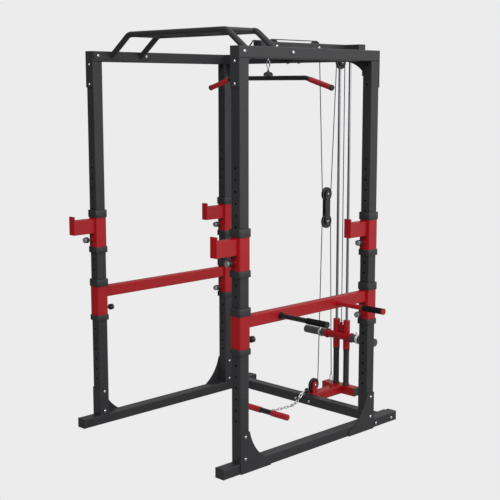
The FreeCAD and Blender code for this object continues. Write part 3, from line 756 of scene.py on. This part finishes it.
def all_bolts():
    """The frame's bolts, and the wire link that holds the row cable's anchor."""
    heads = []
    for point, out, grip in bolt_list():
        place = at(*point)
        heads.append(button_head(place, out))
        # No nut shows on the front faces of the rear uprights.
        if point[1] < REAR_LAP_Y or out != Y_AXIS:
            heads.append(hex_nut(place - Vector(out) * (grip / 1000), -Vector(out)))
    anchor = snap_link(95.5, ANCHOR[0], 32.5, 9, 2.5)
    anchor.data.materials.append(ZINC)
    smoothed(anchor)
    heads.append(anchor)
    whole = joined(heads)
    settle(whole, "frame_bolt_heads", None, "frame", ["frame_bolts"])


def block_bolts():
    """Axle bolts of the floating block."""
    heads = []
    for wheel in ("pulley_block_top", "pulley_block_low"):
        heads.append(button_head(at(BLOCK_HALF, *WHEELS[wheel]), X_AXIS))
        heads.append(hex_nut(at(-BLOCK_HALF, *WHEELS[wheel]), -X_AXIS))
    settle(joined(heads), "block_bolt_heads", None, "cable_block")


# ---- pins, collars and caps ----
def knob_profiles():
    """A pull pin with its ribbed knob, and the knob's crown with concentric rings."""
    barrel = [(0.6, 3.5), (2.4, 5), (33, 5), (33.2, 10), (34, 11), (36, 11), (37, 13), (38, 15.2)]
    height = 39.0
    while height < 53:
        barrel += [(height, 16), (height + 1.4, 16), (height + 1.8, 15.3), (height + 2.3, 15.3)]
        height += 2.6
    barrel += [(height, 15.4), (height + 0.4, 14.4), (height + 0.8, 14)]
    crown = [(height - 0.4, 14.4), (height + 0.4, 15), (60.4, 14.8), (61.4, 13.8)]
    crown += [(61.4, 11.4), (60.8, 11), (60.8, 8.8), (61.4, 8.4)]
    crown += [(61.4, 6), (60.8, 5.6), (60.8, 3.2), (61.2, 2.8)]
    return barrel, crown


def pull_knobs():
    """The eight pull pins, as (X, Y, way they are pulled, Z)."""
    pins = {}
    for name, (x, y) in CORNERS.items():
        pins["hook_pin_" + name] = (x, y, -1, HOOK_PIN_Z)
    for name, x in SIDES.items():
        pins["safety_pin_front_" + name] = (x, 2 * HALF_TUBE, 1, SAFETY_PIN_Z)
        pins["safety_pin_rear_" + name] = (x, REAR_Y, -1, SAFETY_PIN_Z)
    barrel, crown = knob_profiles()
    for body, (x, y, way, z) in pins.items():
        foot, axis = at(x, y, z), Y_AXIS * way
        settle(turned(barrel, foot, axis, 36), body + "_barrel", DARK_STEEL_AND_RECESS_SHADE, body, [body])
        settle(turned(crown, foot, axis, 36), body + "_crown", KNOB_CAP, body)


def trims():
    """Collars above and below each hook and each safety sleeve, copied from three masters."""
    masters = {}
    for _, height in HOOK_COLLARS + SAFETY_COLLARS:
        if height not in masters:
            masters[height] = collar(height)

    def collars_at(x, y, places):
        """Collars on the post at x, y; each place is (foot, height)."""
        spots = [(height, at(x, y + HALF_TUBE, z) - at(0, 0, 0)) for z, height in places]
        return [copied(masters[height], move) for height, move in spots]

    for name, (x, y) in CORNERS.items():
        rings = collars_at(x, y, HOOK_COLLARS)
        body, node = "hook_" + name, "hook_trims_" + name
        settle(joined(rings), body + "_collars", PLASTIC, body, [node])
    for name, x in SIDES.items():
        rings = []
        for y in (0, REAR_Y):
            rings += collars_at(x, y, SAFETY_COLLARS)
        body, node = "safety_" + name, "safety_trims_" + name
        settle(joined(rings), body + "_collars", PLASTIC, body, [node])
    bare()
    for master in masters.values():
        master.select_set(True)
    bpy.ops.object.delete()


def plug(low, high, out):
    """Plastic end plug with a raised border."""
    border, recess, lip = 7, 1, 4
    piece = block(low, high)
    bpy.ops.object.mode_set(mode="EDIT")
    bpy.ops.mesh.select_mode(type="FACE")
    pick_faces(piece, out)
    bpy.ops.mesh.inset(thickness=border / 1000)
    sink = Vector(out) * (-recess / 1000)
    bpy.ops.mesh.extrude_region_move(TRANSFORM_OT_translate={"value": sink})
    bpy.ops.mesh.inset(thickness=lip / 1000)
    bpy.ops.object.mode_set(mode="OBJECT")
    soften(piece, 0.9)
    return piece


def end_plugs():
    """Plugs of the foot rails, the boom's front, and the cross tubes of boom and base."""
    plugs = []
    half = HALF_TUBE
    for x in (-RAIL_X, RAIL_X):
        plugs.append(plug((x - half, -109, 0), (x + half, -106, FOOT_TOP), -Y_AXIS))
        plugs.append(plug((x - half, 1218, 0), (x + half, 1221, FOOT_TOP), Y_AXIS))
    plugs.append(plug((-half, 700, 2025), (half, 703, 2080), -Y_AXIS))
    for z0, z1 in ((2025, 2080), (0, 50)):
        plugs.append(plug((122, 1399, z0), (125, 1459, z1), X_AXIS))
        plugs.append(plug((-125, 1399, z0), (-122, 1459, z1), -X_AXIS))
    settle(joined(plugs), "end_plugs", PLASTIC, "frame", ["end_caps"])


# ---- pulleys ----
def pulleys():
    """Grooved wheels with a hub, a dished web and ribs."""
    half = [(-7, 6), (-7, 11), (-6.4, 12), (-3.4, 13.5), (-3.4, 28.5), (-6.4, 31), (-7, 32)]
    half += [(-7, 38.6), (-6.2, 39.8), (-5.2, 40), (-4.4, 38.8), (-3.1, 34.6), (-2.2, 34.2)]
    profile = half + [(-height, radius) for height, radius in reversed(half)]
    rib_count, rib_foot, rib_tip = 5, 12.5, 31
    for name, (y, z) in WHEELS.items():
        wheel = turned(profile, at(0, y, z), X_AXIS, 56)
        ribs = []
        for n in range(rib_count):
            turn = 2 * math.pi * n / rib_count
            rib = block((-5.4, y - 1.6, z + rib_foot), (5.4, y + 1.6, z + rib_tip))
            soften(rib, 0.5, 1)
            bpy.ops.transform.rotate(value=turn, orient_axis="X", center_override=at(0, y, z))
            apply_place()
            ribs.append(rib)
        settle(joined([wheel] + ribs), name + "_wheel", NYLON, name, [name])


# ---- grips ----
def ribbed(length, outer, end_radius):
    """Profile of a moulded grip: a rolled end, shallow ribs and a closed tip."""
    profile = [(0, outer - 1.2), (0.8, outer), (5, outer), (5.6, outer - 0.5)]
    height = 8.0
    while height < length - 14:
        profile += [(height, outer - 0.5), (height + 0.8, outer - 0.1)]
        profile += [(height + 4.2, outer - 0.1), (height + 5, outer - 0.5)]
        height += 6.0
    profile += [(length - 7, outer - 0.4), (length - 6, end_radius), (length - 1.6, end_radius)]
    profile += [(length - 0.4, end_radius - 1.2), (length, end_radius - 3)]
    return profile


def lat_bar_grips():
    """Ribbed sleeves and tips on the bent ends of the lat bar."""
    length, from_tip = 150, 156
    cap = [(148, 15.0), (148.6, 15.5), (157, 15.5), (160, 14.2), (161, 11)]
    grips, caps = [], []
    for side in (-1, 1):
        tip = at(side * 455, LAT_Y, 1834)
        bend = at(side * 275, LAT_Y, 1886)
        along = (tip - bend).normalized()
        start = tip - along * (from_tip / 1000)
        grips.append(turned(ribbed(length, 14.5, 14.2), start, along, 32))
        caps.append(turned(cap, start, along, 32))
    settle(joined(grips), "lat_bar_sleeves", RED_RUBBER, "lat_bar", ["lat_grips"])
    settle(joined(caps), "lat_bar_tips", PLASTIC, "lat_bar")


def row_bar_grips():
    """Ribbed sleeves on both ends of the row bar."""
    inner_end, length, radius = 45, 119, 17.5
    grips = []
    for side in (-1, 1):
        start = at(side * inner_end, *ROW_BAR)
        grips.append(turned(ribbed(length, radius, radius), start, X_AXIS * side, 32))
    settle(joined(grips), "row_bar_sleeves", RED_RUBBER, "row_handle", ["row_grips"])


def dip_foam():
    """Foam sleeves of both dip handles."""
    profile = [(0, 13), (0.4, 14.6), (2, 15.4), (4, 15.5), (60, 15.7), (119, 15.5), (121, 15.4)]
    profile += [(122.6, 14.6), (123, 13)]
    inner_end = 737
    grips = [turned(profile, at(inner_end, y, DIP_Z), X_AXIS, 36) for y in DIP_Y]
    piece = joined(grips)
    settle(piece, "dip_foam", FOAM, "safety_right", ["dip_grips"])


# ---- lat bar hanger, chain and weight collars ----
def snap_link(z, y, half_length, half_width, wire):
    """Upright oval link in the plane across the cage, stretched from a ring."""
    link = ring(half_width, wire, 32, 12, rotation=(math.pi / 2, 0, 0))
    stretch_ends(link, Z_AXIS, half_length - half_width)
    link.location = at(0, y, z)
    apply_place()
    return link


def stretch_ends(link, way, run):
    """Pulls the two halves of a ring apart along way, by run mm each."""
    middle = 1e-7
    for sign in (-1, 1):
        bpy.ops.object.mode_set(mode="EDIT")
        pick_verts(link, lambda place: place.dot(way) * sign > middle)
        bpy.ops.transform.translate(value=way * sign * run / 1000)
        bpy.ops.object.mode_set(mode="OBJECT")


def narrow_foot(link, middle):
    """Draws the lower half of an upright link in towards the middle, like a pear."""
    only(link)
    bpy.ops.object.mode_set(mode="EDIT")
    pick_verts(link, lambda place: place.z < middle.z)
    bpy.ops.transform.resize(value=(0.4, 1, 1), center_override=middle)
    bpy.ops.object.mode_set(mode="OBJECT")


def hanger():
    """Swivel hub of the lat bar, and the snap hook that hangs it on the cable."""
    profile = [(0, 23.5), (0.8, 25.7), (5.4, 26), (6, 24.8), (7.4, 24.8), (8, 26), (11, 25.6)]
    profile += [(12, 23.6), (13, 23.4), (14, 23.8), (17.5, 18.5), (20.5, 12), (21.6, 8)]
    profile += [(22, 6.2), (28, 6.2), (29, 5)]
    hub = turned(profile, at(0, LAT_Y, 1899), Z_AXIS, 40)
    settle(hub, "lat_swivel_hub", PLASTIC, "lat_hanger", ["lat_hanger"])
    snap = snap_link(SNAP_Z, LAT_Y, 26, 12, 3)
    narrow_foot(snap, at(0, LAT_Y, SNAP_Z))
    lean = Vector((0.13, 0, 1)).normalized()
    gate_profile = [(0, 2.8), (0.6, 3.4), (15, 3.4), (15.6, 2.8)]
    gate = turned(gate_profile, at(9.2, LAT_Y, SNAP_Z - 5), lean, 20)
    settle(joined([snap, gate]), "lat_snap_hook", WIRE, "lat_hanger")


# From the stopper ball over the crossmember's edge and along the floor to the row bar.
CHAIN_ROUTE = [
    Vector((0, 1097, 70)),
    Vector((3, 1078, 67)),
    Vector((0, 1065, 52)),
    Vector((-8, 1057, 30)),
    Vector((-10, 1040, 12)),
    Vector((-8, 1018, 8.5)),
    Vector((4, 980, 8.5)),
    Vector((0, 916, 8.5)),
    Vector((-6, 855, 8.5)),
    Vector((0, 799.2, 13)),
]
CHAIN_RUNS = list(zip(CHAIN_ROUTE[:-1], CHAIN_ROUTE[1:]))


def on_route(distance):
    """Point of the chain's route at a distance from the ball."""
    for start, end in CHAIN_RUNS:
        run = end - start
        if distance <= run.length:
            return start + run.normalized() * distance
        distance -= run.length
    return CHAIN_ROUTE[-1]


def chain():
    """Welded links, each turned a quarter from the last, and the stopper ball."""
    longest_pitch = 27.0
    bend, wire, straight = 6.2, 2.4, 10
    total = sum((end - start).length for start, end in CHAIN_RUNS)
    count = math.ceil(total / longest_pitch)
    pitch = total / count
    links = []
    for n in range(count):
        low, high = on_route(n * pitch), on_route((n + 1) * pitch)
        along = (high - low).normalized()
        flat = Z_AXIS.cross(along).normalized()
        up = along.cross(flat).normalized()
        lean = 1 if (count - n) % 2 == 1 else -1
        across = (flat + up * lean).normalized()
        link = ring(bend, wire, 24, 10)
        stretch_ends(link, X_AXIS, straight)
        turn = Matrix((along, across, along.cross(across))).transposed().to_4x4()
        link.matrix_world = Matrix.Translation(at(*((low + high) / 2))) @ turn
        apply_place()
        links.append(link)
    settle(joined(links), "row_chain_links", ZINC, "row_handle", ["row_chain"])
    half = [(0.9, 15.5), (1.2, 15.95), (5.2, 15.1), (9.6, 12.8), (13, 9.4), (15.2, 5), (16, 3.4)]
    ball = [(-height, radius) for height, radius in reversed(half)] + half
    ball += [(17, 3), (17.2, 2)]
    stopper = turned(ball, at(0, *BALL_CENTRE), -Y_AXIS, 32)
    settle(stopper, "row_stopper_ball", RUBBER, "row_handle")


def spring_collars():
    """Three coils round each weight horn, with two levers that end in plastic tips."""
    first, pitch, radius, wire = 139.6, 4.6, 26.2, 2.4
    lever = [(0, 2.2), (9, 2.2), (9.2, 3.6), (10, 4), (21, 4), (22, 3)]
    lever_offset, lever_rise, splay = 8, 24.5, 0.35
    middle_y, middle_z = HORN_LINE
    across = (0, math.pi / 2, 0)
    for side, name in ((-1, "spring_collar_left"), (1, "spring_collar_right")):
        coils = []
        places = [side * (first + pitch * n) for n in range(3)]
        for x in places:
            middle = at(x, *HORN_LINE)
            coils.append(ring(radius, wire, 40, 10, location=middle, rotation=across))
        for x, lean in ((places[0], -1), (places[-1], 1)):
            foot = at(x, middle_y + lever_offset * lean, middle_z + lever_rise)
            way = Vector((0, splay * lean, 1)).normalized()
            coils.append(turned(lever, foot, way, 16))
        settle(joined(coils), name + "_spring", BRIGHT_RING, name, [name])


def post_buffers():
    """The two bumper posts, with a rolled collar at the foot and a buffer on top."""
    out, y, foot = 39, 1429, 50
    profile = [(0, 18.9), (0.6, 19.5), (13, 19.5), (14, 18.9), (15, 17.6), (212, 17.6)]
    profile += [(213, 18.4), (214, 19), (225, 19), (226, 18)]
    posts = [turned(profile, at(x, y, foot), Z_AXIS, 36) for x in (-out, out)]
    settle(joined(posts), "bumper_post_sleeves", RUBBER, "frame", ["bumper_posts"])


# ---- CAD parts that keep their shape ----
def paint_frame():
    """Finishes of the CAD nodes that stay visible."""
    charcoal = ["pull_up_bar", "lat_boom", "rear_crossbeam", "floor_crossmember"]
    charcoal += ["left_foot", "right_foot", "left_top_beam", "right_top_beam"]
    charcoal += ["upright_" + name for name in CORNERS]
    red = ["lat_base", "carriage_frame", "safety_left", "safety_right"]
    red += ["hook_" + name for name in CORNERS]
    black = ["front_dip_handle", "lat_bar", "row_bar", "block_plates"]
    coats = [(charcoal, CHARCOAL), (red, RED), (black, BLACK_COAT)]
    coats += [(["guide_rods"], CHROME), (["weight_horns"], HORN)]
    for names, finish in coats:
        for name in names:
            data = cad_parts[name].data
            data.materials.clear()
            data.materials.append(finish)


GRAIN = grain_group()
CHARCOAL = finish_from_grain(
    "charcoal_powder_coat", (0.021, 0.021, 0.0235),
    grain=900, patch=5, mottle=0.14, rough=(0.36, 0.5), depth=0.35, shine=0.42,
)
RED = finish_from_grain(
    "red_powder_coat", (0.33, 0.003, 0.007),
    grain=900, patch=6, mottle=0.08, rough=(0.32, 0.45), depth=0.3, shine=0.36,
)
BLACK_COAT = finish_from_grain(
    "black_powder_coat", (0.011, 0.011, 0.013),
    grain=900, patch=6, mottle=0.12, rough=(0.16, 0.28), depth=0.2,
)
PLASTIC = finish_from_grain(
    "moulded_black_plastic", (0.017, 0.018, 0.020),
    grain=1500, patch=9, mottle=0.12, rough=(0.45, 0.6), depth=0.2,
)
NYLON = finish_from_grain(
    "black_nylon", (0.014, 0.014, 0.015),
    grain=700, patch=20, mottle=0.1, rough=(0.3, 0.42), depth=0.15,
)
RUBBER = finish_from_grain(
    "black_rubber", (0.016, 0.016, 0.018),
    grain=1100, patch=12, mottle=0.15, rough=(0.6, 0.75), depth=0.3,
)
FOAM = finish_from_grain(
    "black_foam", (0.006, 0.006, 0.007),
    grain=420, patch=14, mottle=0.3, rough=(0.8, 0.95), depth=1.2, shine=0.12,
)
RED_RUBBER = finish_from_grain(
    "red_rubber", (0.36, 0.004, 0.009),
    grain=1100, patch=12, mottle=0.1, rough=(0.42, 0.55), depth=0.3,
)
CABLE = finish_from_grain(
    "coated_cable", (0.012, 0.012, 0.013),
    grain=500, patch=30, mottle=0.2, rough=(0.5, 0.65), depth=0.3,
)
# Dark steel of the washers and pin barrels; it also paints the shade inside the bolts' key
# recesses.
DARK_STEEL_AND_RECESS_SHADE = finish_from_grain(
    "blackened_steel_and_recess_shade", (0.05, 0.05, 0.055),
    grain=900, patch=20, mottle=0.15, rough=(0.28, 0.4), depth=0.1, metal=0.7,
)
ZINC = finish_from_grain(
    "zinc_plate", (0.66, 0.66, 0.68),
    grain=700, patch=30, mottle=0.12, rough=(0.18, 0.32), depth=0.1, metal=1.0,
)
CHROME = finish_from_grain(
    "polished_chrome", (0.36, 0.36, 0.39),
    grain=300, patch=8, mottle=0.05, rough=(0.12, 0.2), depth=0.03, metal=1.0,
    stretch=(1, 1, 0.05),
)
WIRE = finish_from_grain(
    "plated_wire", (0.32, 0.32, 0.34),
    grain=700, patch=30, mottle=0.12, rough=(0.3, 0.45), depth=0.08, metal=0.8,
)
HORN = finish_from_grain(
    "satin_horn", (0.075, 0.075, 0.082),
    grain=900, patch=12, mottle=0.15, rough=(0.28, 0.4), depth=0.2, metal=0.35,
)
BRIGHT_RING = finish_from_grain(
    "bright_plated_ring", (0.66, 0.66, 0.66),
    grain=700, patch=30, mottle=0.1, rough=(0.3, 0.42), depth=0.08, metal=0.25,
)
KNOB_CAP = finish_from_grain(
    "satin_knob_cap", (0.24, 0.245, 0.26),
    grain=800, patch=30, mottle=0.1, rough=(0.35, 0.5), depth=0.08, metal=0.2,
)

# The parts, in the order that the scene is built.
place_camera()
lat_cable()
low_cable()
studio()
paint_frame()
all_bolts()
block_bolts()
pull_knobs()
trims()
end_plugs()
pulleys()
lat_bar_grips()
row_bar_grips()
dip_foam()
hanger()
chain()
spring_collars()
post_buffers()
